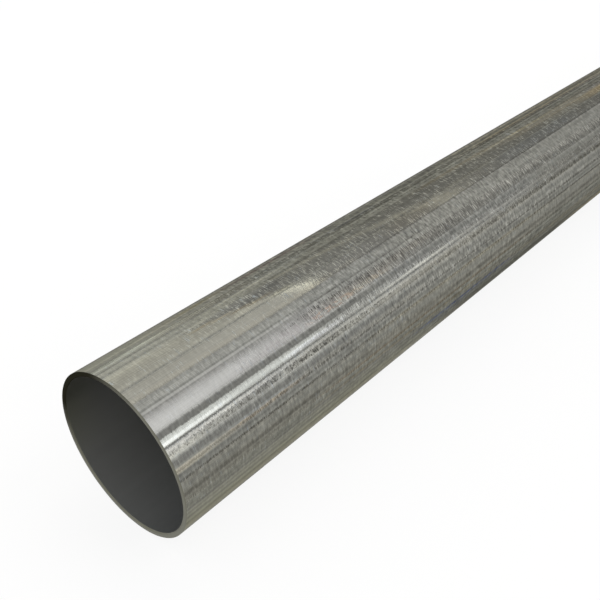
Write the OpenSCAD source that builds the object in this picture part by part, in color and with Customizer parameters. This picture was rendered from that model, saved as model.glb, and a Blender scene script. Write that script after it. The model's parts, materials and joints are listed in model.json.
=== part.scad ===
// Steel conduit pipe: one stock length of plain-end, thin-wall galvanised
// steel electrical conduit, trade size 2.
//
// The pipe lies along X on the plane z = 0, with its middle over the origin.
// It is one piece: a round tube, cut square at both ends. Reaming bevels the
// bore's edge, so that wires aren't cut as they are pulled in, and deburring
// bevels the outside edge, so that couplings and connectors slide on.

/* [Tube] */
// Outside diameter (trade size 2 is 2.197 in)
outside_d = 55.80; // [17.9:0.05:114.3]
// Thickness of the tube's wall (trade size 2 is 0.065 in)
wall = 1.65; // [1.05:0.05:3.0]
// Length as sold (10 ft)
pipe_length = 3048; // [150:1:6096]

/* [Ends] */
// Width of the 45 degree bevel that reaming leaves on the bore's edge
ream = 0.40; // [0.05:0.05:0.50]
// Width of the 45 degree bevel that deburring leaves on the outside edge
deburr = 0.20; // [0.05:0.05:0.50]

/* [Hidden] */

outer_r = outside_d / 2;
bore_r = outer_r - wall;
rise = outer_r; // the axis stands this far above the floor
$fn = 128;

// Half of the tube's lengthwise section: radius along x, length along y
module wall_section() {
    polygon([
        [bore_r, ream],
        [bore_r + ream, 0],
        [outer_r - deburr, 0],
        [outer_r, deburr],
        [outer_r, pipe_length - deburr],
        [outer_r - deburr, pipe_length],
        [bore_r + ream, pipe_length],
        [bore_r, pipe_length - ream],
    ]);
}

// The tube, turned from its section and laid along X on the floor
module conduit_pipe() {
    color([0.55, 0.55, 0.51])
        translate([-pipe_length / 2, 0, rise])
            rotate([0, 90, 0])
                rotate_extrude()
                    wall_section();
}

conduit_pipe();
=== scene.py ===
"""Steel conduit pipe: a smooth galvanised tube and the studio it is shown in."""

import json
import math

import bpy
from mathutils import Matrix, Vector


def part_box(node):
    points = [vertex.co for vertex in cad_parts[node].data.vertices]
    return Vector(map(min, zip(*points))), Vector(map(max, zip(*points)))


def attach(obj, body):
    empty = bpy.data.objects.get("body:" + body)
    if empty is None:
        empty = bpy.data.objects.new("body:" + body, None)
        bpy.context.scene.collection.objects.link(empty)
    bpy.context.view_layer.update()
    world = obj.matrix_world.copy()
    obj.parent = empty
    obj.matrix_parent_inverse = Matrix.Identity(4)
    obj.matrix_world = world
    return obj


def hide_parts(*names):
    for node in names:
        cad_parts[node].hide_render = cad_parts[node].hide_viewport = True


bl_info = {
    "name": "Steel Conduit Pipe",
    "version": (1, 0, 0),
    "blender": (4, 5, 0),
    "location": "3D View > Sidebar > Conduit",
    "description": "Builds a length of galvanised steel conduit and a plain studio round it",
    "category": "Add Mesh",
}

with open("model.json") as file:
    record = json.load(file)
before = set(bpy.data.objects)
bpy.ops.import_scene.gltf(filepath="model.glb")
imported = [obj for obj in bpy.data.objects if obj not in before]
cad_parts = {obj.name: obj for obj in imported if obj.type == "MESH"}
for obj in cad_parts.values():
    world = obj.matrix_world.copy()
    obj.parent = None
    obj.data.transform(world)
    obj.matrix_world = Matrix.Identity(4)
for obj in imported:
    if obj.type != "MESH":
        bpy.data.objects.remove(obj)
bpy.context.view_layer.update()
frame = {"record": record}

CAD_NODE = "conduit_pipe"
PIPE_NAME = "conduit_tube"
MM = 0.001


def driving_sizes():
    """The pipe's sizes in metres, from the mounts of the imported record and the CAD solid."""
    dims = {mount["name"]: mount["dims"] for mount in frame["record"]["mounts"]}
    low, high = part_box(CAD_NODE)
    length = high.x - low.x
    outer_radius = dims["left_end"]["r_mm"] * MM
    return {
        "outer_radius": outer_radius,
        "wall": outer_radius - dims["wireway"]["r_mm"] * MM,
        "length": length,
        "ream": (length - dims["wireway"]["length_mm"] * MM) / 2,
        "deburr": (length - dims["left_end"]["length_mm"] * MM) / 2,
    }


SIZES = driving_sizes()


# ---------------------------------------------------------------- node helpers


def add_node(tree, kind, inputs=None, **settings):
    """A new node in tree, with its settings and with its inputs set or linked."""
    node = tree.nodes.new(kind)
    for name, value in settings.items():
        setattr(node, name, value)
    for key, value in (inputs or {}).items():
        feed(tree, node.inputs[key], value)
    return node


def feed(tree, socket, value):
    """Links socket to an output, or sets it to a plain value."""
    if isinstance(value, bpy.types.NodeSocket):
        tree.links.new(value, socket)
    else:
        socket.default_value = value


def calc(tree, operation, *values, clamp=False):
    """A Math node's output."""
    kind = "ShaderNodeMath"
    node = add_node(tree, kind, dict(enumerate(values)), operation=operation)
    node.use_clamp = clamp
    return node.outputs[0]


def calc_vector(tree, operation, *values):
    """A Vector Math node's vector output."""
    node = add_node(tree, "ShaderNodeVectorMath", dict(enumerate(values)), operation=operation)
    return node.outputs["Vector"]


def mix_colour(tree, factor, first, second, blend="MIX"):
    """A Mix Color node's output."""
    node = add_node(tree, "ShaderNodeMix", data_type="RGBA", blend_type=blend)
    for key, value in ((0, factor), (6, first), (7, second)):
        feed(tree, node.inputs[key], value)
    return node.outputs[2]


def mix_value(tree, factor, first, second):
    """A Mix Float node's output."""
    node = add_node(tree, "ShaderNodeMix", data_type="FLOAT")
    for key, value in ((0, factor), (2, first), (3, second)):
        feed(tree, node.inputs[key], value)
    return node.outputs[0]


def remap(tree, value, low, high, to_low=0.0, to_high=1.0):
    """A clamped linear Map Range node's output."""
    node = add_node(tree, "ShaderNodeMapRange", clamp=True)
    for key, part in enumerate((value, low, high, to_low, to_high)):
        feed(tree, node.inputs[key], part)
    return node.outputs[0]


def product(tree, first, *others):
    """first multiplied by each of the others in turn."""
    for other in others:
        first = calc(tree, "MULTIPLY", first, other)
    return first


def zero_to_one(tree, value):
    """value kept between 0 and 1. Two plain Math nodes take less of the renderer's stack than a clamp."""
    return calc(tree, "MINIMUM", calc(tree, "MAXIMUM", value, 0.0), 1.0)


def new_group(name, kind, inputs, outputs):
    """A node group with the given sockets; returns the tree, its input node and output node."""
    tree = bpy.data.node_groups.new(name, kind)
    for label, socket_type, default in inputs:
        socket = tree.interface.new_socket(name=label, in_out="INPUT", socket_type=socket_type)
        if default is not None:
            socket.default_value = default
    for label, socket_type in outputs:
        tree.interface.new_socket(name=label, in_out="OUTPUT", socket_type=socket_type)
    return tree, tree.nodes.new("NodeGroupInput"), tree.nodes.new("NodeGroupOutput")


def use_group(tree, group, inputs=None):
    """Places a shader node group in a material's tree."""
    node = tree.nodes.new("ShaderNodeGroup")
    node.node_tree = group
    for key, value in (inputs or {}).items():
        feed(tree, node.inputs[key], value)
    return node


# ------------------------------------------------------------ shader effects


def axis_angle_group():
    """Where a point is round the pipe: its angle from the top, in degrees, and its centred place."""
    tree, given, result = new_group(
        "Place Round Axis",
        "ShaderNodeTree",
        [("Axis Height", "NodeSocketFloat", SIZES["outer_radius"])],
        [("Place", "NodeSocketVector"), ("Angle", "NodeSocketFloat"), ("Along", "NodeSocketFloat")],
    )
    here = add_node(tree, "ShaderNodeTexCoord").outputs["Object"]
    axis = add_node(tree, "ShaderNodeCombineXYZ", {2: given.outputs["Axis Height"]})
    place = calc_vector(tree, "SUBTRACT", here, axis.outputs[0])
    parts = add_node(tree, "ShaderNodeSeparateXYZ", {0: place})
    front = calc(tree, "MULTIPLY", parts.outputs["Y"], -1.0)
    angle = calc(tree, "ARCTAN2", front, parts.outputs["Z"])
    feed(tree, result.inputs["Place"], place)
    feed(tree, result.inputs["Angle"], calc(tree, "DEGREES", angle))
    feed(tree, result.inputs["Along"], parts.outputs["X"])
    return tree


def stroke_group():
    """Strokes of noise that run along the pipe or round it, from 0 to 1 about a mean of 0.5."""
    tree, given, result = new_group(
        "Drawn Strokes",
        "ShaderNodeTree",
        [
            ("Place", "NodeSocketVector", None),
            ("Along Size", "NodeSocketFloat", 0.001),
            ("Round Size", "NodeSocketFloat", 0.001),
            ("Detail", "NodeSocketFloat", 1.0),
            ("Shift", "NodeSocketFloat", 0.0),
        ],
        [("Strokes", "NodeSocketFloat"), ("Tint", "NodeSocketColor")],
    )
    sizes = add_node(
        tree,
        "ShaderNodeCombineXYZ",
        {0: given.outputs["Along Size"], 1: given.outputs["Round Size"], 2: given.outputs["Round Size"]},
    )
    shift = add_node(tree, "ShaderNodeCombineXYZ", {0: given.outputs["Shift"], 1: given.outputs["Shift"]})
    scaled = calc_vector(tree, "DIVIDE", given.outputs["Place"], sizes.outputs[0])
    moved = calc_vector(tree, "ADD", scaled, shift.outputs[0])
    noise = add_node(
        tree,
        "ShaderNodeTexNoise",
        {"Vector": moved, "Scale": 1.0, "Detail": given.outputs["Detail"], "Roughness": 0.6},
    )
    feed(tree, result.inputs["Strokes"], noise.outputs["Fac"])
    feed(tree, result.inputs["Tint"], noise.outputs["Color"])
    return tree


# Each mark runs the whole length of the pipe, at one place round it:
# (angle from the top in degrees, tone, how bare and bright, how flecked).
# Between two marks the values blend, so a pair close together makes an edge.
# Their low tones from -45 to -26 degrees darken the upper back along the whole pipe: painted shade laid into
# the marks there.
BACK_MARKS_AND_PAINTED_SHADE = (
    (-60.0, 0.90, 0.08, 0.10),
    (-45.0, 0.55, 0.06, 0.12),
    (-36.0, 0.46, 0.06, 0.16),
    (-34.0, 0.57, 0.06, 0.18),
    (-32.5, 0.62, 0.06, 0.18),
    (-30.5, 0.66, 0.06, 0.18),
    (-29.4, 0.62, 0.06, 0.18),
    (-28.2, 0.54, 0.08, 0.18),
    (-27.0, 0.50, 0.08, 0.18),
    (-26.0, 0.52, 0.08, 0.18),
    (-24.6, 0.65, 0.08, 0.18),
    (-23.0, 0.70, 0.08, 0.18),
    (-22.2, 0.64, 0.10, 0.18),
    (-21.2, 0.70, 0.10, 0.16),
    (-20.2, 0.90, 0.10, 0.12),
    (-19.2, 0.88, 0.15, 0.12),
    (-18.2, 0.92, 0.42, 0.14),
    (-17.2, 1.06, 0.70, 0.12),
    (-16.0, 1.22, 0.82, 0.10),
    (-14.6, 1.24, 0.90, 0.10),
    (-13.2, 1.12, 0.88, 0.10),
    (-12.3, 0.90, 0.50, 0.10),
    (-11.3, 0.88, 0.18, 0.10),
)
TOP_MARKS = (
    (-11.3, 0.88, 0.18, 0.10),
    (-10.5, 1.02, 0.40, 0.10),
    (-9.4, 1.12, 0.62, 0.10),
    (-8.0, 1.06, 0.50, 0.10),
    (-7.0, 0.98, 0.40, 0.10),
    (-6.0, 0.84, 0.25, 0.10),
    (-5.2, 1.06, 0.62, 0.10),
    (-4.0, 1.14, 0.88, 0.10),
    (0.0, 1.09, 0.92, 0.08),
    (9.4, 1.10, 0.92, 0.08),
    (10.3, 0.90, 0.50, 0.06),
    (11.0, 0.86, 0.30, 0.06),
    (11.8, 1.10, 0.88, 0.06),
    (19.8, 1.10, 0.90, 0.06),
    (20.7, 0.80, 0.90, 0.10),
    (21.5, 1.04, 0.05, 0.10),
)
CROWN_MARKS = (
    (21.5, 1.04, 0.05, 0.10),
    (22.6, 1.06, 0.08, 0.10),
    (23.4, 1.04, 0.12, 0.12),
    (24.6, 0.96, 0.22, 0.18),
    (25.6, 1.03, 0.18, 0.16),
    (26.4, 1.06, 0.10, 0.12),
    (27.3, 0.98, 0.06, 0.08),
    (28.2, 1.05, 0.10, 0.05),
    (28.9, 1.05, 0.10, 0.05),
    (29.5, 1.00, 0.10, 0.08),
    (30.5, 1.02, 0.18, 0.20),
    (31.6, 1.00, 0.40, 0.50),
    (32.8, 0.98, 0.62, 0.85),
    (34.5, 0.92, 0.80, 0.90),
    (37.0, 0.96, 0.78, 0.70),
    (40.1, 1.00, 0.74, 0.60),
    (41.0, 1.02, 0.55, 0.20),
    (41.5, 1.12, 0.25, 0.05),
    (42.4, 0.80, 0.03, 0.12),
)
SHOULDER_MARKS = (
    (42.4, 0.80, 0.03, 0.12),
    (45.0, 0.80, 0.03, 0.12),
    (45.8, 1.00, 0.70, 0.50),
    (46.8, 1.06, 0.80, 0.50),
    (48.2, 1.20, 0.85, 0.40),
    (48.9, 1.24, 0.85, 0.20),
    (50.1, 1.12, 0.80, 0.02),
    (50.6, 0.72, 0.05, 0.02),
    (51.1, 0.86, 0.05, 0.02),
    (51.5, 1.06, 0.30, 0.02),
    (52.1, 1.20, 0.75, 0.03),
    (53.0, 1.22, 0.85, 0.08),
    (53.7, 0.92, 0.80, 0.75),
    (55.9, 0.88, 0.80, 0.85),
    (56.6, 1.10, 0.55, 0.25),
    (57.4, 1.24, 0.40, 0.05),
    (58.6, 1.18, 0.35, 0.05),
    (59.4, 0.84, 0.04, 0.12),
    (62.2, 0.86, 0.05, 0.12),
    (63.2, 1.14, 0.30, 0.10),
    (64.2, 1.18, 0.30, 0.12),
    (65.0, 1.06, 0.70, 0.45),
    (66.0, 0.86, 0.80, 0.50),
    (66.6, 0.98, 0.20, 0.15),
    (67.2, 1.03, 0.12, 0.12),
    (68.6, 0.80, 0.20, 0.20),
    (69.2, 0.80, 0.20, 0.20),
    (70.2, 0.98, 0.10, 0.10),
    (70.9, 0.93, 0.10, 0.10),
    (71.5, 0.86, 0.80, 0.60),
    (72.3, 0.94, 0.80, 0.60),
    (73.0, 1.00, 0.10, 0.15),
)
FRONT_MARKS = (
    (73.0, 1.00, 0.10, 0.15),
    (74.2, 0.99, 0.08, 0.12),
    (76.0, 0.92, 0.08, 0.14),
    (78.6, 0.92, 0.08, 0.16),
    (80.1, 0.76, 0.25, 0.24),
    (81.1, 0.70, 0.30, 0.26),
    (82.1, 0.74, 0.25, 0.24),
    (83.2, 0.92, 0.12, 0.16),
    (84.4, 0.82, 0.14, 0.16),
    (85.4, 0.84, 0.40, 0.20),
    (86.2, 1.05, 0.65, 0.18),
    (87.1, 1.08, 0.48, 0.14),
    (88.2, 0.86, 0.12, 0.14),
    (89.2, 0.80, 0.12, 0.14),
    (90.2, 0.74, 0.14, 0.14),
    (91.3, 1.02, 0.50, 0.16),
    (92.2, 1.03, 0.42, 0.12),
    (93.1, 0.70, 0.12, 0.10),
    (94.0, 0.78, 0.10, 0.08),
    (95.1, 0.94, 0.08, 0.07),
    (96.5, 0.76, 0.08, 0.07),
    (98.2, 0.98, 0.08, 0.07),
    (100.4, 0.74, 0.08, 0.07),
    (101.3, 0.81, 0.08, 0.07),
    (103.4, 1.09, 0.08, 0.07),
    (104.6, 0.99, 0.08, 0.07),
    (106.5, 0.70, 0.08, 0.07),
    (107.4, 0.79, 0.08, 0.07),
    (108.7, 0.96, 0.08, 0.06),
    (110.5, 1.00, 0.08, 0.06),
    (112.0, 1.00, 0.08, 0.05),
)
UNDER_MARKS = (
    (112.0, 1.00, 0.08, 0.05),
    (123.0, 1.00, 0.30, 0.15),
    (130.0, 0.98, 0.20, 0.20),
    (135.0, 0.95, 0.90, 0.30),
    (136.0, 0.92, 0.90, 0.35),
    (141.0, 1.02, 0.10, 0.10),
    (151.0, 1.00, 0.20, 0.15),
    (152.0, 0.95, 0.90, 0.60),
    (158.0, 1.00, 0.65, 0.70),
    (159.0, 1.08, 0.10, 0.10),
    (171.0, 0.92, 0.90, 0.20),
    (182.0, 0.95, 1.00, 0.25),
    (183.0, 1.02, 0.15, 0.15),
    (197.0, 1.00, 0.20, 0.10),
    (198.0, 0.92, 0.90, 0.60),
    (206.0, 0.95, 0.80, 0.70),
    (207.0, 1.04, 0.20, 0.15),
    (216.0, 0.90, 0.95, 0.25),
    (226.0, 0.95, 0.90, 0.20),
    (227.0, 1.04, 0.10, 0.10),
    (239.0, 1.00, 0.20, 0.15),
    (240.0, 0.92, 0.95, 0.30),
    (256.0, 0.96, 0.95, 0.24),
    (257.0, 1.02, 0.25, 0.15),
    (269.0, 0.95, 0.55, 0.35),
    (281.0, 1.00, 0.25, 0.30),
    (288.0, 0.92, 0.90, 0.25),
    (300.0, 1.00, 0.60, 0.30),
)


# Layers of noise on the outside, as (size along and size round in mm, detail, shift of the pattern).
STROKES = {
    "streaks": (2.2, 0.9, 2.0, 131.0),
    "edges": (0.34, 3.0, 1.0, 11.0),
    "hairs": (0.32, 3.0, 1.0, 37.0),
    "crumbs": (0.6, 0.9, 1.0, 41.0),
    "stray hairs": (0.32, 2.6, 1.0, 97.0),
    "stray clusters": (3.0, 2.5, 2.0, 101.0),
    "whiskers": (0.26, 5.0, 2.0, 173.0),
    "whisker clusters": (4.0, 3.0, 2.0, 179.0),
    "scratches": (140.0, 0.28, 1.0, 51.0),
    "clouds": (45.0, 9.0, 2.0, 67.0),
    "dashes": (8.0, 1.1, 2.0, 151.0),
    "cross hairs": (0.8, 2.2, 3.0, 73.0),
    "grit": (0.5, 0.6, 1.0, 61.0),
}

# Angles in degrees from the top toward the front: the middle of the shiny crown, and of the upper side.
CROWN_ANGLE = 40.0
TOP_ANGLE = 10.0

# The start of a patch that runs in over the near end, and the end of one that runs out over the far end.
NEAR = -100.0
FAR = 4000.0

# Each patch multiplies the colour of one stretch of the outside, measured from the near end:
# (angle at its middle and half its width in degrees, start, end and fade in mm, break-up, colour factor).
# It is full over the middle half of its width. Break-up is how far the streaks eat into it.
# Some patches are tints. Many paint light and shade into the colour: painted highlights and reflections
# that lighten bands near the end, and painted shade along the upper back edge and over the underside.
TINTS_AND_PAINTED_LIGHT = (
    (-38.5, 4.0, NEAR, 50.0, 20.0, 0.0, (0.86, 0.86, 0.85)),
    (-37.0, 5.0, 50.0, FAR, 60.0, 0.0, (0.58, 0.57, 0.52)),
    (-35.5, 4.5, 95.0, FAR, 60.0, 0.0, (0.80, 0.79, 0.76)),
    (-34.0, 6.0, 170.0, FAR, 80.0, 0.0, (0.76, 0.74, 0.68)),
    (-31.4, 2.4, NEAR, 48.0, 10.0, 0.0, (1.07, 1.07, 1.07)),
    (-31.0, 14.0, NEAR, 50.0, 70.0, 0.0, (1.28, 1.28, 1.26)),
    (-31.0, 3.0, 66.0, 82.0, 6.0, 0.0, (1.18, 1.18, 1.18)),
    (-28.0, 5.0, 190.0, 262.0, 20.0, 0.0, (0.99, 1.00, 1.06)),
    (-27.4, 3.6, 48.0, 84.0, 10.0, 0.0, (0.84, 0.83, 0.83)),
    (-27.4, 3.4, 188.0, 292.0, 22.0, 0.0, (1.70, 1.60, 1.42)),
    (-27.2, 2.2, 58.0, 94.0, 12.0, 0.4, (0.76, 0.58, 0.58)),
    (-27.0, 6.0, 22.0, 105.0, 12.0, 0.0, (1.01, 0.98, 0.975)),
    (-27.0, 2.6, 34.0, 50.0, 12.0, 0.3, (1.00, 0.94, 0.66)),
    (-27.0, 6.0, 280.0, FAR, 40.0, 0.0, (0.97, 0.91, 0.82)),
    (-26.6, 1.6, NEAR, 12.0, 10.0, 0.0, (1.10, 1.10, 1.10)),
    (-25.5, 5.0, NEAR, 46.0, 50.0, 0.0, (1.34, 1.34, 1.33)),
    (-24.4, 2.0, 44.0, 84.0, 12.0, 0.0, (0.92, 0.92, 0.92)),
    (-23.4, 4.4, 110.0, FAR, 60.0, 0.0, (0.60, 0.59, 0.55)),
    (-22.6, 3.0, 200.0, FAR, 30.0, 0.0, (0.90, 0.88, 0.84)),
    (-21.8, 3.0, NEAR, 50.0, 20.0, 0.0, (1.07, 1.07, 1.07)),
    (-18.0, 1.8, 56.0, 74.0, 8.0, 0.0, (0.82, 0.82, 0.82)),
    (-18.0, 2.0, 200.0, 330.0, 40.0, 0.0, (1.02, 0.95, 0.80)),
    (-17.4, 2.4, NEAR, 9.0, 8.0, 0.0, (0.90, 0.90, 0.90)),
    (-17.2, 3.0, 112.0, 172.0, 14.0, 0.0, (0.89, 0.89, 0.89)),
    (-17.0, 3.0, 100.0, 130.0, 12.0, 0.0, (0.985, 0.995, 1.06)),
    (-17.0, 4.0, 205.0, FAR, 30.0, 0.0, (1.02, 0.98, 0.92)),
    (-16.0, 2.2, 26.0, 58.0, 10.0, 0.0, (0.84, 0.84, 0.84)),
    (-15.6, 2.4, 296.0, 420.0, 30.0, 0.2, (1.10, 1.07, 1.04)),
    (-15.5, 5.0, 22.0, 62.0, 8.0, 0.0, (1.00, 0.975, 0.955)),
    (-15.0, 7.0, NEAR, 90.0, 20.0, 0.0, (0.99, 1.00, 1.04)),
    (-15.0, 3.0, 112.0, 150.0, 10.0, 0.0, (0.90, 0.90, 0.90)),
    (-14.6, 2.0, 56.0, 86.0, 14.0, 0.0, (0.90, 0.90, 0.90)),
    (-14.4, 3.2, 190.0, FAR, 40.0, 0.0, (0.80, 0.79, 0.77)),
    (-13.4, 1.8, NEAR, 14.0, 10.0, 0.0, (1.12, 1.12, 1.12)),
    (-12.8, 1.4, 90.0, FAR, 20.0, 0.0, (0.92, 0.92, 0.92)),
    (-12.0, 1.6, 66.0, 100.0, 8.0, 0.0, (1.14, 1.14, 1.14)),
    (-9.8, 1.4, NEAR, 24.0, 8.0, 0.0, (1.04, 1.04, 1.04)),
    (-9.8, 1.6, 78.0, 94.0, 6.0, 0.0, (0.84, 0.84, 0.84)),
    (-9.6, 1.2, 43.0, 72.0, 8.0, 0.1, (1.28, 1.27, 1.24)),
    (-9.4, 1.4, 24.0, 43.0, 8.0, 0.0, (0.88, 0.88, 0.88)),
    (-9.2, 1.8, 158.0, FAR, 16.0, 0.0, (0.86, 0.86, 0.86)),
    (-7.9, 1.1, 54.0, FAR, 20.0, 0.0, (0.88, 0.88, 0.88)),
    (-6.0, 5.0, NEAR, 34.0, 10.0, 0.0, (0.99, 1.00, 1.03)),
    (-6.0, 4.0, 256.0, FAR, 16.0, 0.0, (0.88, 0.87, 0.85)),
    (-4.9, 1.6, 66.0, 184.0, 8.0, 0.0, (0.84, 0.84, 0.84)),
    (-4.6, 1.8, 52.0, 126.0, 14.0, 0.2, (0.81, 0.81, 0.81)),
    (-4.5, 2.4, 150.0, 205.0, 20.0, 0.0, (1.02, 0.98, 0.93)),
    (-2.8, 2.4, NEAR, 15.0, 6.0, 0.0, (1.17, 1.17, 1.15)),
    (-2.6, 3.4, 32.0, 60.0, 8.0, 0.0, (1.20, 1.20, 1.18)),
    (-2.4, 0.9, 196.0, 228.0, 12.0, 0.0, (1.42, 1.37, 1.26)),
    (-2.0, 1.8, 222.0, 290.0, 14.0, 0.0, (1.14, 1.09, 0.98)),
    (-1.5, 2.4, 255.0, FAR, 14.0, 0.0, (0.99, 1.00, 1.06)),
    (-1.0, 2.2, 60.0, 190.0, 10.0, 0.0, (0.90, 0.90, 0.90)),
    (0.0, 5.0, 38.0, 66.0, 8.0, 0.0, (0.99, 1.00, 1.035)),
    (0.6, 1.8, 190.0, 232.0, 10.0, 0.0, (0.85, 0.84, 0.83)),
    (0.8, 1.6, 28.0, 42.0, 6.0, 0.0, (0.84, 0.84, 0.84)),
    (0.8, 1.1, 30.0, 38.0, 4.0, 0.0, (1.08, 1.01, 0.91)),
    (1.0, 3.6, 258.0, FAR, 14.0, 0.0, (1.15, 1.14, 1.12)),
    (1.8, 2.2, 56.0, 190.0, 14.0, 0.0, (0.91, 0.91, 0.91)),
    (1.8, 2.2, 58.0, 70.0, 5.0, 0.0, (0.84, 0.84, 0.84)),
    (2.2, 2.0, 98.0, 150.0, 10.0, 0.0, (0.89, 0.89, 0.89)),
    (2.6, 1.1, 37.0, 45.0, 4.0, 0.0, (1.08, 1.01, 0.91)),
    (2.8, 2.6, 215.0, 290.0, 20.0, 0.0, (1.00, 0.97, 0.93)),
    (3.5, 5.5, 300.0, FAR, 20.0, 0.0, (1.03, 0.98, 0.94)),
    (4.6, 1.1, 44.0, 52.0, 4.0, 0.0, (1.08, 1.01, 0.91)),
    (5.0, 2.4, NEAR, 170.0, 8.0, 0.0, (0.92, 0.92, 0.92)),
    (5.2, 2.4, 228.0, 262.0, 12.0, 0.0, (0.87, 0.87, 0.87)),
    (6.0, 5.0, 290.0, FAR, 30.0, 0.0, (1.32, 1.19, 0.97)),
    (6.2, 1.1, 51.0, 60.0, 4.0, 0.0, (1.08, 1.01, 0.91)),
    (6.5, 3.0, 92.0, FAR, 14.0, 0.0, (0.93, 0.93, 0.93)),
    (7.6, 2.6, 45.0, 59.0, 6.0, 0.0, (1.28, 1.27, 1.24)),
    (8.5, 1.3, NEAR, 45.0, 8.0, 0.0, (1.11, 1.11, 1.10)),
    (8.8, 1.6, 59.0, 68.0, 4.0, 0.2, (1.28, 1.27, 1.20)),
    (8.8, 1.4, 66.0, 84.0, 8.0, 0.3, (1.10, 1.10, 1.10)),
    (9.6, 1.2, 90.0, FAR, 14.0, 0.0, (0.88, 0.88, 0.88)),
    (10.2, 1.4, 57.0, 69.0, 4.0, 0.2, (1.12, 1.11, 1.06)),
    (10.2, 1.2, 70.0, 92.0, 8.0, 0.0, (0.80, 0.80, 0.80)),
    (10.9, 1.7, NEAR, 58.0, 6.0, 0.5, (0.82, 0.82, 0.84)),
    (11.0, 0.7, NEAR, 58.0, 6.0, 0.0, (1.16, 1.16, 1.16)),
    (11.2, 2.6, 88.0, 130.0, 12.0, 0.0, (0.86, 0.86, 0.86)),
    (13.5, 4.4, 200.0, FAR, 40.0, 0.0, (0.86, 0.86, 0.86)),
    (14.5, 7.0, 156.0, 196.0, 16.0, 0.0, (0.94, 0.92, 0.88)),
    (15.0, 7.0, 118.0, 146.0, 10.0, 0.0, (0.90, 0.88, 0.85)),
    (15.0, 6.0, 158.0, 264.0, 14.0, 0.0, (0.985, 1.005, 1.045)),
    (15.4, 3.0, 70.0, 90.0, 5.0, 0.0, (1.14, 1.14, 1.12)),
    (17.6, 2.6, 134.0, 190.0, 14.0, 0.0, (0.94, 0.94, 0.94)),
    (18.8, 1.6, 69.0, 84.0, 6.0, 0.3, (0.82, 0.82, 0.82)),
    (19.2, 2.4, 190.0, 262.0, 10.0, 0.0, (0.87, 0.87, 0.87)),
    (19.5, 2.2, NEAR, 100.0, 10.0, 0.0, (1.00, 0.985, 0.96)),
    (21.1, 1.0, 90.0, FAR, 30.0, 0.0, (0.85, 0.85, 0.85)),
    (24.6, 1.8, NEAR, 84.0, 20.0, 0.0, (1.11, 1.11, 1.11)),
    (24.6, 1.8, 130.0, FAR, 30.0, 0.0, (0.94, 0.94, 0.94)),
    (24.6, 2.0, 255.0, FAR, 14.0, 0.0, (0.88, 0.88, 0.88)),
    (24.8, 1.6, 84.0, 110.0, 10.0, 0.0, (1.10, 1.10, 1.10)),
    (25.0, 9.0, NEAR, 50.0, 60.0, 0.0, (1.16, 1.16, 1.16)),
    (25.0, 3.0, 38.0, 60.0, 8.0, 0.0, (1.10, 1.10, 1.10)),
    (25.2, 2.2, NEAR, 20.0, 10.0, 0.0, (1.08, 1.08, 1.08)),
    (26.6, 0.7, NEAR, 60.0, 10.0, 0.0, (0.86, 0.86, 0.86)),
    (26.8, 1.8, 59.0, 96.0, 8.0, 0.1, (1.18, 1.18, 1.18)),
    (28.4, 1.0, NEAR, 60.0, 6.0, 0.0, (1.42, 1.42, 1.42)),
    (28.8, 0.7, 66.0, 137.0, 10.0, 0.7, (0.54, 0.53, 0.52)),
    (30.6, 1.8, 66.0, 82.0, 6.0, 0.0, (1.13, 1.13, 1.13)),
    (30.9, 1.2, NEAR, 48.0, 8.0, 0.0, (1.11, 1.11, 1.11)),
    (31.0, 1.6, 176.0, FAR, 20.0, 0.0, (0.92, 0.92, 0.92)),
    (32.6, 1.4, 77.0, 118.0, 8.0, 0.0, (0.86, 0.86, 0.86)),
    (34.3, 3.2, 170.0, FAR, 26.0, 0.0, (1.38, 1.38, 1.38)),
    (34.5, 2.6, 62.0, 130.0, 10.0, 0.0, (1.00, 0.98, 0.96)),
    (35.0, 9.0, NEAR, 70.0, 10.0, 0.0, (1.00, 0.99, 1.02)),
    (35.5, 5.0, 58.0, 70.0, 5.0, 0.0, (0.91, 0.91, 0.91)),
    (36.8, 1.6, 196.0, 236.0, 8.0, 0.0, (0.88, 0.88, 0.88)),
    (37.5, 2.4, 62.0, 96.0, 8.0, 0.0, (0.99, 1.02, 1.02)),
    (37.8, 2.4, 80.0, 102.0, 10.0, 0.6, (1.30, 1.18, 1.07)),
    (38.0, 42.0, 110.0, FAR, 40.0, 0.0, (1.01, 1.00, 0.975)),
    (38.2, 2.6, 64.0, 84.0, 8.0, 0.9, (1.02, 0.84, 0.76)),
    (38.8, 3.0, 58.0, 84.0, 8.0, 0.0, (1.12, 1.12, 1.12)),
    (38.8, 2.8, 113.0, 148.0, 8.0, 0.0, (0.77, 0.77, 0.77)),
    (40.5, 1.4, 58.0, 92.0, 8.0, 0.0, (1.10, 1.10, 1.10)),
    (42.8, 1.8, 28.0, 58.0, 12.0, 0.0, (1.07, 1.07, 1.07)),
    (46.0, 7.0, 100.0, 205.0, 14.0, 0.0, (0.99, 1.00, 1.03)),
    (46.4, 0.7, NEAR, 56.0, 10.0, 0.0, (1.12, 1.12, 1.12)),
    (48.4, 1.0, 20.0, 32.0, 8.0, 0.3, (1.12, 1.12, 1.12)),
    (48.7, 1.6, 49.0, 74.0, 6.0, 0.1, (1.32, 1.33, 1.40)),
    (48.7, 1.4, 79.0, 92.0, 6.0, 0.0, (0.90, 0.90, 0.90)),
    (48.8, 1.5, 113.0, 128.0, 8.0, 0.0, (1.12, 1.12, 1.12)),
    (48.9, 1.3, NEAR, 23.0, 6.0, 0.0, (1.40, 1.40, 1.42)),
    (49.2, 0.8, 30.0, 47.0, 6.0, 0.0, (0.86, 0.86, 0.86)),
    (52.5, 2.4, NEAR, 50.0, 10.0, 0.0, (0.995, 1.00, 1.03)),
    (52.6, 1.2, NEAR, 14.0, 8.0, 0.0, (0.88, 0.88, 0.88)),
    (54.4, 2.0, 71.0, 114.0, 8.0, 0.0, (1.14, 1.14, 1.14)),
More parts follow.
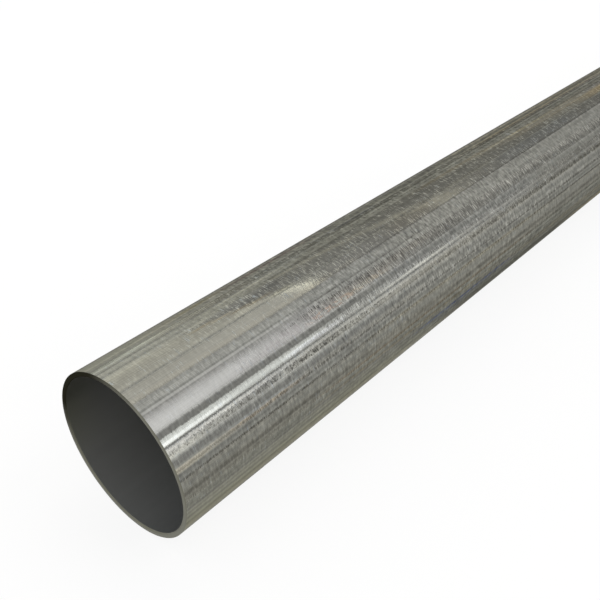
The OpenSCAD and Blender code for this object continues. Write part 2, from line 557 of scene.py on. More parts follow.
    (54.6, 1.8, 190.0, FAR, 40.0, 0.0, (0.91, 0.91, 0.91)),
    (54.9, 2.4, NEAR, 26.0, 8.0, 0.3, (1.24, 1.24, 1.22)),
    (55.0, 2.6, 59.0, 71.0, 6.0, 0.4, (0.76, 0.76, 0.76)),
    (55.5, 2.4, 48.0, FAR, 12.0, 0.0, (1.00, 0.99, 0.96)),
    (56.4, 1.6, 28.0, 40.0, 5.0, 0.3, (0.84, 0.84, 0.84)),
    (56.8, 1.6, NEAR, 14.0, 6.0, 0.0, (1.14, 1.14, 1.14)),
    (56.8, 1.5, 41.0, 58.0, 6.0, 0.0, (1.14, 1.14, 1.14)),
    (57.2, 1.5, NEAR, 12.0, 8.0, 0.0, (1.13, 1.13, 1.11)),
    (64.5, 2.4, 22.0, 50.0, 8.0, 0.0, (0.985, 1.01, 1.07)),
    (64.5, 2.4, 50.0, 115.0, 8.0, 0.0, (1.00, 0.985, 0.96)),
    (64.9, 1.8, 48.0, 70.0, 6.0, 0.2, (0.82, 0.82, 0.82)),
    (65.0, 2.8, 27.0, 46.0, 8.0, 0.2, (1.16, 1.15, 1.13)),
    (65.2, 1.4, 22.0, 50.0, 8.0, 0.4, (1.15, 1.00, 0.82)),
    (65.6, 2.2, NEAR, 18.0, 26.0, 0.0, (1.76, 1.67, 1.50)),
    (67.0, 3.0, 198.0, 262.0, 12.0, 0.0, (0.90, 0.90, 0.90)),
    (71.4, 2.0, 176.0, 232.0, 10.0, 0.0, (0.86, 0.86, 0.86)),
    (71.9, 1.2, NEAR, 62.0, 8.0, 0.8, (0.76, 0.75, 0.73)),
    (71.9, 1.4, 88.0, 200.0, 30.0, 0.0, (1.22, 1.18, 1.09)),
    (72.6, 1.4, 66.0, 92.0, 8.0, 0.0, (0.88, 0.88, 0.88)),
    (73.5, 2.4, NEAR, FAR, 10.0, 0.0, (1.00, 0.985, 0.96)),
    (78.6, 2.2, 78.0, 92.0, 8.0, 0.0, (1.14, 1.14, 1.14)),
    (80.9, 1.8, 80.0, 124.0, 8.0, 0.3, (1.22, 1.21, 1.19)),
    (81.2, 1.6, NEAR, 54.0, 10.0, 0.8, (0.88, 0.87, 0.86)),
    (82.0, 6.0, NEAR, FAR, 10.0, 0.0, (1.005, 0.985, 0.965)),
    (85.8, 1.3, 60.0, 190.0, 20.0, 0.4, (1.03, 0.92, 0.82)),
    (85.9, 1.3, 90.0, FAR, 20.0, 0.2, (0.91, 0.92, 0.92)),
    (86.5, 0.9, NEAR, 50.0, 20.0, 0.2, (1.11, 1.11, 1.11)),
    (90.6, 2.2, NEAR, 50.0, 20.0, 0.2, (1.08, 1.08, 1.06)),
    (91.3, 1.6, 60.0, 160.0, 30.0, 0.5, (1.04, 0.95, 0.82)),
    (91.4, 1.8, 126.0, FAR, 24.0, 0.0, (0.87, 0.87, 0.87)),
    (92.4, 1.6, 98.0, 232.0, 10.0, 0.0, (1.10, 1.10, 1.09)),
    (93.8, 1.4, 84.0, 128.0, 14.0, 0.0, (1.12, 1.12, 1.12)),
    (95.0, 1.6, NEAR, 50.0, 20.0, 0.0, (1.13, 1.13, 1.11)),
    (95.2, 1.8, 136.0, FAR, 20.0, 0.0, (0.91, 0.91, 0.91)),
    (97.0, 8.0, NEAR, 110.0, 30.0, 0.0, (0.995, 0.995, 1.06)),
    (97.9, 1.5, 112.0, 176.0, 14.0, 0.7, (0.50, 0.60, 1.10)),
    (98.0, 4.0, 150.0, 300.0, 40.0, 0.0, (1.02, 0.98, 0.90)),
    (98.6, 5.4, 110.0, FAR, 50.0, 0.0, (0.80, 0.80, 0.80)),
    (98.6, 2.6, 112.0, 184.0, 18.0, 0.0, (0.84, 0.87, 0.98)),
    (98.8, 1.4, NEAR, 30.0, 8.0, 0.0, (1.11, 1.11, 1.10)),
    (100.1, 1.2, 112.0, 200.0, 10.0, 0.0, (1.17, 1.16, 1.14)),
    (101.0, 1.2, 124.0, 204.0, 20.0, 0.6, (0.80, 0.84, 1.02)),
    (102.9, 2.2, 140.0, 232.0, 12.0, 0.0, (0.84, 0.84, 0.85)),
    (103.0, 16.0, 50.0, FAR, 60.0, 0.0, (0.90, 0.90, 0.90)),
    (103.3, 2.2, 122.0, 200.0, 30.0, 0.0, (0.66, 0.67, 0.66)),
    (103.5, 2.0, 118.0, 150.0, 16.0, 0.0, (0.98, 1.00, 1.10)),
    (104.0, 14.0, NEAR, 110.0, 60.0, 0.0, (1.02, 1.01, 0.92)),
    (106.0, 6.0, 112.0, 146.0, 10.0, 0.0, (0.88, 0.88, 0.88)),
    (111.0, 5.0, NEAR, 170.0, 20.0, 0.0, (1.01, 0.985, 0.98)),
    (111.5, 8.0, 136.0, 234.0, 36.0, 0.0, (0.40, 0.40, 0.36)),
    (112.0, 13.0, 200.0, FAR, 50.0, 0.0, (0.56, 0.55, 0.50)),
    (112.8, 2.4, 126.0, 236.0, 14.0, 0.0, (0.82, 0.82, 0.80)),
    (114.0, 5.0, 245.0, FAR, 30.0, 0.0, (1.50, 1.30, 1.00)),
)

# Places with fewer flecks and stray hairs, written the same way, with the share of them that stays last.
SMOOTH_PLACES = (
    (-26.0, 24.0, NEAR, 36.0, 24.0, 0.0, 0.3),
    (15.5, 8.0, NEAR, 18.0, 8.0, 0.0, 0.8),
    (15.5, 8.0, 18.0, 74.0, 8.0, 0.0, 0.35),
    (24.3, 5.0, NEAR, 62.0, 12.0, 0.0, 0.65),
    (28.2, 1.5, NEAR, 50.0, 8.0, 0.0, 0.1),
    (36.5, 9.0, NEAR, 32.0, 8.0, 0.0, 0.05),
    (36.5, 9.0, 32.0, 62.0, 8.0, 0.0, 0.42),
    (47.4, 4.4, NEAR, 66.0, 8.0, 0.2, 0.5),
    (54.8, 4.0, NEAR, 11.0, 6.0, 0.4, 0.5),
    (65.2, 3.0, NEAR, 22.0, 8.0, 0.2, 0.2),
    (110.0, 20.0, NEAR, FAR, 8.0, 0.0, 0.15),
)


def patch_group():
    """A mask that is 1 on one patch of the pipe and fades out round it."""
    tree, given, result = new_group(
        "Patch",
        "ShaderNodeTree",
        [
            ("Angle", "NodeSocketFloat", 0.0),
            ("Depth", "NodeSocketFloat", 0.0),
            ("Streaks", "NodeSocketFloat", 0.5),
            ("Middle", "NodeSocketFloat", 0.0),
            ("Half Width", "NodeSocketFloat", 1.0),
            ("Start", "NodeSocketFloat", 0.0),
            ("End", "NodeSocketFloat", 1.0),
            ("Fade", "NodeSocketFloat", 1.0),
            ("Break-up", "NodeSocketFloat", 0.0),
        ],
        [("Mask", "NodeSocketFloat")],
    )
    sockets = given.outputs
    aside = calc(tree, "ABSOLUTE", calc(tree, "SUBTRACT", sockets["Angle"], sockets["Middle"]))
    aside = calc(tree, "DIVIDE", aside, sockets["Half Width"])
    round_mask = zero_to_one(tree, calc(tree, "MULTIPLY_ADD", aside, -2.0, 2.0))
    half_fade = calc(tree, "DIVIDE", sockets["Fade"], 2.0)
    centre = calc(tree, "DIVIDE", calc(tree, "ADD", sockets["Start"], sockets["End"]), 2.0)
    reach = calc(tree, "DIVIDE", calc(tree, "SUBTRACT", sockets["End"], sockets["Start"]), 2.0)
    off_centre = calc(tree, "ABSOLUTE", calc(tree, "SUBTRACT", sockets["Depth"], centre))
    inside = calc(tree, "SUBTRACT", calc(tree, "ADD", reach, half_fade), off_centre)
    along_mask = zero_to_one(tree, calc(tree, "DIVIDE", inside, sockets["Fade"]))
    mask = calc(tree, "MULTIPLY", round_mask, along_mask)
    broken = remap(tree, sockets["Streaks"], 0.46, 0.56)
    kept = mix_value(tree, sockets["Break-up"], 1.0, broken)
    feed(tree, result.inputs["Mask"], calc(tree, "MULTIPLY", mask, kept))
    return tree


def mark_ramp(tree, angle, marks):
    """A Color Ramp that holds one run of marks; its colour is (tone / 2, bareness, flecks)."""
    first, last = marks[0][0], marks[-1][0]
    ramp = add_node(tree, "ShaderNodeValToRGB", {0: remap(tree, angle, first, last)})
    stops = ramp.color_ramp.elements
    while len(stops) > 1:
        stops.remove(stops[-1])
    for index, (place, tone, bare, flecks) in enumerate(marks):
        share = (place - first) / (last - first)
        stop = stops[0] if index == 0 else stops.new(share)
        stop.position = share
        stop.color = (tone / 2, bare, flecks, 1.0)
    return ramp.outputs["Color"]


def die_marks_group():
    """The lengthwise marks that drawing and galvanising leave, all the way round the pipe, with painted shade
    over the upper back.
    """
    tree, given, result = new_group(
        "Die Marks",
        "ShaderNodeTree",
        [("Angle", "NodeSocketFloat", 0.0)],
        [("Tone", "NodeSocketFloat"), ("Bare", "NodeSocketFloat"), ("Flecks", "NodeSocketFloat")],
    )
    start = BACK_MARKS_AND_PAINTED_SHADE[0][0]
    turned = calc(tree, "SUBTRACT", given.outputs["Angle"], start)
    angle = calc(tree, "ADD", calc(tree, "FLOORED_MODULO", turned, 360.0), start)
    colour = mark_ramp(tree, angle, BACK_MARKS_AND_PAINTED_SHADE)
    for marks in (TOP_MARKS, CROWN_MARKS, SHOULDER_MARKS, FRONT_MARKS, UNDER_MARKS):
        past = calc(tree, "GREATER_THAN", angle, marks[0][0])
        colour = mix_colour(tree, past, colour, mark_ramp(tree, angle, marks))
    parts = add_node(tree, "ShaderNodeSeparateColor", {0: colour})
    feed(tree, result.inputs["Tone"], calc(tree, "MULTIPLY", parts.outputs[0], 2.0))
    feed(tree, result.inputs["Bare"], parts.outputs[1])
    feed(tree, result.inputs["Flecks"], parts.outputs[2])
    return tree


# ----------------------------------------------------------------- materials


def new_material(name):
    """An empty material with a Principled BSDF; returns the material, its tree and the shader."""
    material = bpy.data.materials.new(name)
    material.use_nodes = True
    tree = material.node_tree
    shader = next(node for node in tree.nodes if node.type == "BSDF_PRINCIPLED")
    return material, tree, shader


def galvanised_material(finish, groups):
    """The drawn, galvanised outside: matte zinc and bare bright metal in lengthwise bands, with painted
    highlights and painted shade laid over them in patches.

    A place on it is an angle, in degrees from the top toward the front, and a depth, in mm from the near end.
    """
    material, tree, shader = new_material("galvanised outside")
    where = use_group(tree, groups["place"])
    angle = where.outputs["Angle"]

    def strokes(layer):
        """One of the STROKES layers of noise."""
        along, around, detail, shift = STROKES[layer]
        values = {
            "Place": where.outputs["Place"],
            "Along Size": along * MM,
            "Round Size": around * MM,
            "Detail": detail,
            "Shift": shift,
        }
        return use_group(tree, groups["strokes"], values).outputs[0]

    def swing(value, amount):
        """A stroke's noise about zero, times amount."""
        return product(tree, calc(tree, "SUBTRACT", value, 0.5), amount)

    def patch(at_angle, at_depth, middle, half_width, start, end, fade, break_up):
        """The mask of one patch; its lengths are in mm from the near end."""
        values = {
            "Angle": at_angle,
            "Depth": at_depth,
            "Streaks": streaks,
            "Middle": middle,
            "Half Width": half_width,
            "Start": start,
            "End": end,
            "Fade": fade,
            "Break-up": break_up,
        }
        return use_group(tree, groups["patch"], values).outputs[0]

    from_near_end = calc(tree, "ADD", where.outputs["Along"], SIZES["length"] / 2)
    depth = calc(tree, "DIVIDE", from_near_end, MM)
    streaks = strokes("streaks")

    # The bands' edges are ragged at the crown and run straight on the sides.
    off_crown = calc(tree, "ABSOLUTE", calc(tree, "SUBTRACT", angle, CROWN_ANGLE))
    crisp = remap(tree, off_crown, 42.0, 62.0, 1.0, 0.3)
    ragged = swing(strokes("edges"), finish.edge_wander)
    edge_angle = calc(tree, "MULTIPLY_ADD", ragged, crisp, angle)
    marks = use_group(tree, groups["marks"], {"Angle": edge_angle})

    # Near the end some bands have few flecks or stray hairs.
    busy = 1.0
    for *place, kept in SMOOTH_PLACES:
        left_over = remap(tree, patch(angle, depth, *place), 0.0, 1.0, 1.0, kept)
        busy = product(tree, busy, left_over)

    # Flecks: short strokes round the pipe, dense only where the marks say so.
    hairs = strokes("hairs")
    crumbs = strokes("crumbs")
    lace_start = remap(tree, angle, 50.0, 52.0)
    lacy = product(tree, lace_start, remap(tree, angle, 57.0, 60.0, 1.0, 0.0))
    crumbling = mix_value(tree, lacy, remap(tree, off_crown, 10.0, 13.0, 0.25, 0.5), 1.0)
    crumbs = product(tree, swing(crumbs, finish.fleck_contrast), crumbling)
    hairs = swing(hairs, finish.fleck_contrast)
    grain = calc(tree, "MULTIPLY_ADD", hairs, mix_value(tree, lacy, 1.0, 0.35), crumbs)
    grain = remap(tree, grain, -1.0, 1.0, -1.0, 1.0)
    off_middle = remap(tree, off_crown, 18.0, 26.0)
    on_crown = remap(tree, depth, 90.0, 140.0, 1.8, 0.45)
    beside_crown = remap(tree, depth, 48.0, 76.0, 2.7, 0.6)
    fleck_reach = mix_value(tree, remap(tree, off_crown, 10.0, 13.0), on_crown, beside_crown)
    fleck_reach = mix_value(tree, off_middle, fleck_reach, 0.9)
    flecked = product(tree, marks.outputs["Flecks"], fleck_reach)
    fleck = product(tree, grain, flecked, calc(tree, "POWER", busy, 2.0))
    bare = calc(tree, "ADD", marks.outputs["Bare"], fleck, clamp=True)

    # Stray hairs of zinc lie across the bright bands, in loose clusters.
    stray = remap(tree, strokes("stray hairs"), 0.55, 0.63)
    cluster = remap(tree, strokes("stray clusters"), 0.42, 0.58, 0.2, 1.0)
    cluster = product(tree, cluster, remap(tree, depth, 10.0, 60.0, 0.14, 1.0))
    stray = product(tree, stray, cluster, busy)
    coated = product(tree, stray, finish.stray_zinc)
    bare = product(tree, bare, calc(tree, "SUBTRACT", 1.0, coated))

    # Whiskers: a few long pale hairs that cross several bands at once.
    whisker = remap(tree, strokes("whiskers"), 0.61, 0.67)
    spread = remap(tree, strokes("whisker clusters"), 0.50, 0.58)
    whisker = product(tree, whisker, spread, remap(tree, busy, 0.0, 0.3, 0.15, 1.0))
    bare = product(tree, bare, calc(tree, "MULTIPLY_ADD", whisker, -finish.whisker_zinc, 1.0))

    # Strays and whiskers show less on the sides that are seen askew.
    tone = product(tree, marks.outputs["Tone"], remap(tree, fleck, -1.0, 1.0, 1.25, 0.45))
    off_top = calc(tree, "ABSOLUTE", calc(tree, "SUBTRACT", angle, TOP_ANGLE))
    far = remap(tree, depth, 30.0, 140.0)
    on_side = remap(tree, off_top, 56.0, 64.0, 1.0, 0.6)
    on_side = product(tree, on_side, remap(tree, off_top, 78.0, 92.0, 1.0, 2.6))
    facing = mix_value(tree, far, remap(tree, off_top, 52.0, 92.0, 1.0, 0.55), on_side)
    back_hairs = remap(tree, depth, 30.0, 70.0, 0.9, 1.7)
    back_hairs = mix_value(tree, remap(tree, angle, -22.0, -14.0), back_hairs, 1.0)
    facing = product(tree, facing, back_hairs, remap(tree, depth, 190.0, 230.0, 1.0, 0.8))
    lift = product(tree, finish.stray_lift, remap(tree, depth, 20.0, 60.0, 1.6, 1.4))
    lift = product(tree, stray, facing, lift)
    tone = calc(tree, "MULTIPLY_ADD", tone, lift, tone)
    pale = remap(tree, depth, 20.0, 90.0, 2.4, 1.0)
    pale = product(tree, whisker, facing, finish.whisker_lift, pale)
    tone = calc(tree, "MULTIPLY_ADD", tone, pale, tone)

    # Scratches along the pipe, soft clouds, and short hairs round it change the tone a little.
    hair_reach = mix_value(tree, bare, finish.hair_contrast, 0.15 * finish.hair_contrast)
    far_hairs = remap(tree, depth, 0.0, 160.0, 0.8, 1.6)
    hair_reach = product(tree, hair_reach, far_hairs, mix_value(tree, busy, 0.4, 1.0))
    drift = remap(tree, depth, 20.0, 120.0, 0.3, 1.0)
    scratches = strokes("scratches")
    scratch_reach = mix_value(tree, busy, 0.04, 0.12)
    clouds = strokes("clouds")
    dashes = strokes("dashes")
    dash_reach = product(tree, remap(tree, off_crown, 44.0, 66.0, 0.05, 0.28), drift)
    cross_hairs = strokes("cross hairs")
    cross_reach = product(tree, hair_reach, facing)
    for noise, amount in (
        (scratches, scratch_reach),
        (clouds, 0.06),
        (dashes, dash_reach),
        (cross_hairs, cross_reach),
    ):
        swung = product(tree, remap(tree, noise, 0.3, 0.7, -1.0, 1.0), amount)
        tone = calc(tree, "MULTIPLY_ADD", tone, swung, tone)

    # Away from the crown the metal has an olive cast.
    olive = remap(tree, off_crown, 20.0, 70.0)
    cast = mix_colour(tree, olive, (1.0, 1.0, 1.0, 1.0), (*finish.olive_cast, 1.0))
    zinc = mix_colour(tree, 1.0, (*finish.zinc_colour, 1.0), cast, "MULTIPLY")
    bright = mix_colour(tree, 1.0, (*finish.bare_colour, 1.0), cast, "MULTIPLY")
    colour = mix_colour(tree, remap(tree, bare, 0.4, 1.0), zinc, bright)
    shade = add_node(tree, "ShaderNodeCombineColor", {0: tone, 1: tone, 2: tone})
    colour = mix_colour(tree, 1.0, colour, shade.outputs[0], "MULTIPLY")
    cool = mix_colour(tree, 1.0, colour, (*finish.whisker_cast, 1.0), "MULTIPLY")
    colour = mix_colour(tree, whisker, colour, cool)

    # The patches' edges stray a little with the tone.
    strayed = calc(tree, "MULTIPLY_ADD", tone, 0.3, calc(tree, "SUBTRACT", angle, 0.3))
    frayed = calc(tree, "MULTIPLY_ADD", tone, 2.0, calc(tree, "SUBTRACT", depth, 2.0))
    # The patches lay their tints, painted highlights and painted shade over the colour.
    for *place, factor in TINTS_AND_PAINTED_LIGHT:
        mask = patch(strayed, frayed, *place)
        tint_and_painted_light = mix_colour(tree, 1.0, colour, (*factor, 1.0), "MULTIPLY")
        colour = mix_colour(tree, mask, colour, tint_and_painted_light)
    feed(tree, shader.inputs["Base Color"], colour)
    feed(tree, shader.inputs["Metallic"], remap(tree, bare, 0.05, 0.45, 0.0, 1.0))
    roughness = remap(tree, bare, 0.05, 0.9, finish.zinc_roughness, finish.bare_roughness)
    feed(tree, shader.inputs["Roughness"], roughness)
    shader.inputs["Specular IOR Level"].default_value = 0.05
    edge = finish.grazing_shine
    shader.inputs["Specular Tint"].default_value = (edge, edge, edge, 1.0)

    raised = product(tree, bare, 0.4)
    relief = calc(tree, "ADD", raised, strokes("grit"))
    bump = add_node(tree, "ShaderNodeBump", {"Height": relief, "Strength": 0.2, "Distance": 0.03 * MM})
    feed(tree, shader.inputs["Normal"], bump.outputs[0])
    return material


def turned_to(tree, angle, direction):
    """1 where angle is direction, both in degrees round the pipe, and -1 on the opposite side."""
    return calc(tree, "COSINE", calc(tree, "RADIANS", calc(tree, "SUBTRACT", angle, direction)))


def bore_material(finish, groups):
    """The inside of the pipe: dark and smooth, with painted light and shade: lighter toward its bottom, and
    darker still along its upper back.
    """
    material, tree, shader = new_material("bore lining")
    where = use_group(tree, groups["place"])
    angle = where.outputs["Angle"]
    values = {
        "Place": where.outputs["Place"],
        "Along Size": 90.0 * MM,
        "Round Size": 2.5 * MM,
        "Shift": 5.0,
    }
    streak = use_group(tree, groups["strokes"], values).outputs[0]
    # Painted light and shade: the bore is lighter toward its bottom than over its upper half, and lighter
    # from the mouth to 18 mm in.
    around = remap(tree, turned_to(tree, angle, 19.0), -1.0, 0.0, 1.32, 0.35)
    half = SIZES["length"] / 2
    depth = calc(tree, "SUBTRACT", half, calc(tree, "ABSOLUTE", where.outputs["Along"]))
    inward = remap(tree, depth, 0.0, 18.0 * MM, 0.0, 0.21)
    to_back = turned_to(tree, angle, -65.0)
    around = calc(tree, "ADD", around, remap(tree, to_back, 0.2, 1.0, 0.0, 0.10))
    grain = remap(tree, streak, 0.3, 0.7, 0.98, 1.02)
    tone = product(tree, calc(tree, "ADD", around, inward), grain)

    # Just inside the mouth the upper back has painted shade, dark and olive like the painted shade on the cut
    # ring.
    to_top = turned_to(tree, angle, -32.0)
    lip_painted_shade = remap(tree, to_top, 0.6, 0.95)
    lip_painted_shade = product(tree, lip_painted_shade, remap(tree, depth, 0.0, 8.0 * MM, 1.0, 0.0))
    tone = product(tree, tone, calc(tree, "MULTIPLY_ADD", lip_painted_shade, -0.36, 1.0))
    warmth = remap(tree, to_back, -1.0, 0.6)
    cast = mix_colour(tree, warmth, (0.97, 1.0, 1.0, 1.0), (1.0, 1.0, 0.95, 1.0))
    rim_painted_olive = remap(tree, to_back, 0.5, 1.0)
    rim_painted_olive = product(tree, rim_painted_olive, remap(tree, depth, 0.0, 14.0 * MM, 1.0, 0.0))
    cast = mix_colour(tree, rim_painted_olive, cast, (1.0, 1.0, 0.75, 1.0))
    lining = mix_colour(tree, 1.0, (*finish.bore_colour, 1.0), cast, "MULTIPLY")
    feed(tree, shader.inputs["Base Color"], mix_colour(tree, 1.0, lining, tone, "MULTIPLY"))
    feed(tree, shader.inputs["Roughness"], remap(tree, streak, 0.3, 0.7, 0.55, 0.62))
    shader.inputs["Metallic"].default_value = 0.0
    shader.inputs["Specular IOR Level"].default_value = 0.2
    relief = {"Height": streak, "Strength": 0.1, "Distance": 0.02 * MM}
    feed(tree, shader.inputs["Normal"], add_node(tree, "ShaderNodeBump", relief).outputs[0])
    return material


def cut_end_material(finish, groups):
    """The sawn and reamed ends: bare steel, with painted shade, a dark non-metal colour, over part of the
    ring.
    """
    material, tree, shader = new_material("cut end")
    where = use_group(tree, groups["place"])

    def strokes(size, shift):
        """Noise of one size both along the pipe and round it, in mm."""
        values = {
            "Place": where.outputs["Place"],
            "Along Size": size * MM,
            "Round Size": size * MM,
            "Shift": shift,
        }
        return use_group(tree, groups["strokes"], values).outputs[0]

    scratch = strokes(0.4, 3.0)
    blotch = strokes(6.0, 9.0)
    shade = remap(tree, scratch, 0.2, 0.8, 0.93, 1.07)
    shade = product(tree, shade, remap(tree, blotch, 0.3, 0.7, 0.95, 1.05))

    # The painted shade lies round the upper back of the ring and fades out to both sides.
    from_ring_painted_shade = calc(tree, "ABSOLUTE", calc(tree, "ADD", where.outputs["Angle"], 48.0))
    from_ring_painted_shade = calc(tree, "ADD", from_ring_painted_shade, product(tree, blotch, 10.0))
    ring_painted_shade = remap(tree, from_ring_painted_shade, 36.0, 80.0, 1.0, 0.0)
    steel = mix_colour(tree, ring_painted_shade, (*finish.cut_colour, 1.0), (*finish.ring_painted_shade_colour, 1.0))
    feed(tree, shader.inputs["Base Color"], mix_colour(tree, 1.0, steel, shade, "MULTIPLY"))
    feed(tree, shader.inputs["Roughness"], remap(tree, scratch, 0.3, 0.7, 0.4, 0.5))
    feed(tree, shader.inputs["Metallic"], calc(tree, "SUBTRACT", 1.0, ring_painted_shade))
    shader.inputs["Specular IOR Level"].default_value = 0.0
    relief = {"Height": scratch, "Strength": 0.1, "Distance": 0.02 * MM}
    feed(tree, shader.inputs["Normal"], add_node(tree, "ShaderNodeBump", relief).outputs[0])
    return material


# -------------------------------------------------------------- the pipe itself

TUBE_INPUTS = (
    ("Outer Radius", "NodeSocketFloat"),
    ("Wall", "NodeSocketFloat"),
    ("Length", "NodeSocketFloat"),
    ("Ream", "NodeSocketFloat"),
    ("Deburr", "NodeSocketFloat"),
    ("Facets", "NodeSocketInt"),
    ("Rings", "NodeSocketInt"),
    ("Outside", "NodeSocketMaterial"),
    ("Bore", "NodeSocketMaterial"),
    ("Cut End", "NodeSocketMaterial"),
)


def section_corners(tree, size):
    """The eight corners of half the lengthwise section, as (along, radius) outputs."""
    half = calc(tree, "DIVIDE", size["Length"], 2.0)
    bore = calc(tree, "SUBTRACT", size["Outer Radius"], size["Wall"])
    reamed = calc(tree, "ADD", bore, size["Ream"])
    deburred = calc(tree, "SUBTRACT", size["Outer Radius"], size["Deburr"])
    bore_half = calc(tree, "SUBTRACT", half, size["Ream"])
    outer_half = calc(tree, "SUBTRACT", half, size["Deburr"])
    near_side = [(bore_half, bore), (half, reamed), (half, deburred), (outer_half, size["Outer Radius"])]
    corners = [(calc(tree, "MULTIPLY", along, -1.0), radius) for along, radius in near_side]
    return corners + near_side[::-1]


def tube_tree():
    """Geometry Nodes: a section of the wall, swept round the pipe's axis."""
    tree = bpy.data.node_groups.new("Conduit Tube", "GeometryNodeTree")
    tree.is_modifier = True
    tree.interface.new_socket(name="Geometry", in_out="OUTPUT", socket_type="NodeSocketGeometry")
    for label, socket_type in TUBE_INPUTS:
        tree.interface.new_socket(name=label, in_out="INPUT", socket_type=socket_type)
    size = tree.nodes.new("NodeGroupInput").outputs
    result = tree.nodes.new("NodeGroupOutput")

    corners = section_corners(tree, size)
    switch = add_node(tree, "GeometryNodeIndexSwitch", data_type="VECTOR")
    while len(switch.index_switch_items) < len(corners):
        switch.index_switch_items.new()
    index = tree.nodes.new("GeometryNodeInputIndex").outputs[0]
    feed(tree, switch.inputs["Index"], index)
    for number, (along, radius) in enumerate(corners):
        outward = calc(tree, "SUBTRACT", radius, size["Outer Radius"])
        corner = add_node(tree, "ShaderNodeCombineXYZ", {0: outward, 1: along})
        feed(tree, switch.inputs[number + 1], corner.outputs[0])
    loop = add_node(tree, "GeometryNodeCurvePrimitiveCircle", {"Resolution": len(corners)})
    section = add_node(
        tree,
        "GeometryNodeSetPosition",
        {"Geometry": loop.outputs["Curve"], "Position": switch.outputs[0]},
    )
    is_wall = calc(tree, "COMPARE", calc(tree, "MODULO", index, 4.0), 3.0, 0.5)
    cuts = calc(tree, "MULTIPLY", is_wall, calc(tree, "SUBTRACT", size["Rings"], 1.0))
    ringed = add_node(
        tree,
        "GeometryNodeSubdivideCurve",
        {"Curve": section.outputs[0], "Cuts": cuts},
    )
    path = add_node(
        tree,
        "GeometryNodeCurvePrimitiveCircle",
        {"Resolution": size["Facets"], "Radius": size["Outer Radius"]},
    )
    swept = add_node(
        tree,
        "GeometryNodeCurveToMesh",
        {"Curve": path.outputs["Curve"], "Profile Curve": ringed.outputs[0]},
    )
    lift = add_node(tree, "ShaderNodeCombineXYZ", {2: size["Outer Radius"]})
    turned = add_node(
        tree,
        "GeometryNodeTransform",
        {
            "Geometry": swept.outputs[0],
            "Translation": lift.outputs[0],
            "Rotation": (0.0, math.radians(90.0), 0.0),
        },
    )
    bend = tree.nodes.new("GeometryNodeInputMeshEdgeAngle").outputs[0]
    crisp = calc(tree, "GREATER_THAN", bend, math.radians(20.0))
    smooth_faces = add_node(
        tree, "GeometryNodeSetShadeSmooth", {"Geometry": turned.outputs[0], "Shade Smooth": True}
    )
    smooth = add_node(
        tree,
        "GeometryNodeSetShadeSmooth",
        {"Geometry": smooth_faces.outputs[0], "Selection": crisp, "Shade Smooth": False},
        domain="EDGE",
    )

    position = tree.nodes.new("GeometryNodeInputPosition").outputs[0]
    centre = add_node(tree, "ShaderNodeSeparateXYZ", {0: position})
    height = calc(tree, "SUBTRACT", centre.outputs["Z"], size["Outer Radius"])
    across = add_node(tree, "ShaderNodeCombineXYZ", {0: centre.outputs["Y"], 1: height})
    reach = add_node(tree, "ShaderNodeVectorMath", {0: across.outputs[0]}, operation="LENGTH")
    mid_wall = calc(tree, "SUBTRACT", size["Outer Radius"], calc(tree, "DIVIDE", size["Wall"], 2.0))
    inside = calc(tree, "LESS_THAN", reach.outputs["Value"], mid_wall)
    end_at = calc(tree, "SUBTRACT", calc(tree, "DIVIDE", size["Length"], 2.0), 1.0 * MM)
    at_end = calc(tree, "GREATER_THAN", calc(tree, "ABSOLUTE", centre.outputs["X"]), end_at)

    real = add_node(tree, "GeometryNodeRealizeInstances", {"Geometry": smooth.outputs[0]})
    coated = add_node(
        tree, "GeometryNodeSetMaterial", {"Geometry": real.outputs[0], "Material": size["Outside"]}
    )
    lined = add_node(
        tree,
        "GeometryNodeSetMaterial",
        {"Geometry": coated.outputs[0], "Selection": inside, "Material": size["Bore"]},
    )
    cut = add_node(
        tree,
        "GeometryNodeSetMaterial",
        {"Geometry": lined.outputs[0], "Selection": at_end, "Material": size["Cut End"]},
    )
    feed(tree, result.inputs["Geometry"], cut.outputs[0])
    return tree


def solid_from_tree(name, tree, values):
    """Runs a Geometry Nodes tree with the given inputs and keeps its result as a plain mesh."""
    shell = bpy.data.objects.new(name, bpy.data.meshes.new(name))
    bpy.context.scene.collection.objects.link(shell)
    modifier = shell.modifiers.new("Build", "NODES")
    modifier.node_group = tree
    for item in tree.interface.items_tree:
        if item.item_type == "SOCKET" and item.in_out == "INPUT":
            modifier[item.identifier] = values[item.name]
    depsgraph = bpy.context.evaluated_depsgraph_get()
    mesh = bpy.data.meshes.new_from_object(shell.evaluated_get(depsgraph))
    shell.modifiers.remove(modifier)
    shell.data = mesh
    mesh.name = name
    return shell


# ------------------------------------------------------------------ the studio


def softbox(name, height, along, across, radiance, colour):
    """A soft lamp that hangs level over the pipe's near end.

    along and across are its edges from that end, as shares of its height over the pipe.
    """
    low_x, high_x = (edge * height for edge in along)
    low_y, high_y = (edge * height for edge in across)
    lamp = bpy.data.lights.new(name, "AREA")
    lamp.shape = "RECTANGLE"
    lamp.size = high_x - low_x
    lamp.size_y = high_y - low_y
    lamp.color = colour
    lamp.energy = radiance * math.pi * lamp.size * lamp.size_y
    holder = bpy.data.objects.new(name, lamp)
    near_end = -SIZES["length"] / 2
    holder.location = (
        near_end + (low_x + high_x) / 2,
        (low_y + high_y) / 2,
        SIZES["outer_radius"] + height,
    )
    holder.visible_camera = False
    bpy.context.scene.collection.objects.link(holder)
    return holder


def seen_directly(tree):
    """1 where a camera, glossy or transmission ray looks, so that metal shows the background too."""
    rays = add_node(tree, "ShaderNodeLightPath").outputs
    either = calc(tree, "MAXIMUM", rays["Is Camera Ray"], rays["Is Glossy Ray"])
    return calc(tree, "MAXIMUM", either, rays["Is Transmission Ray"])


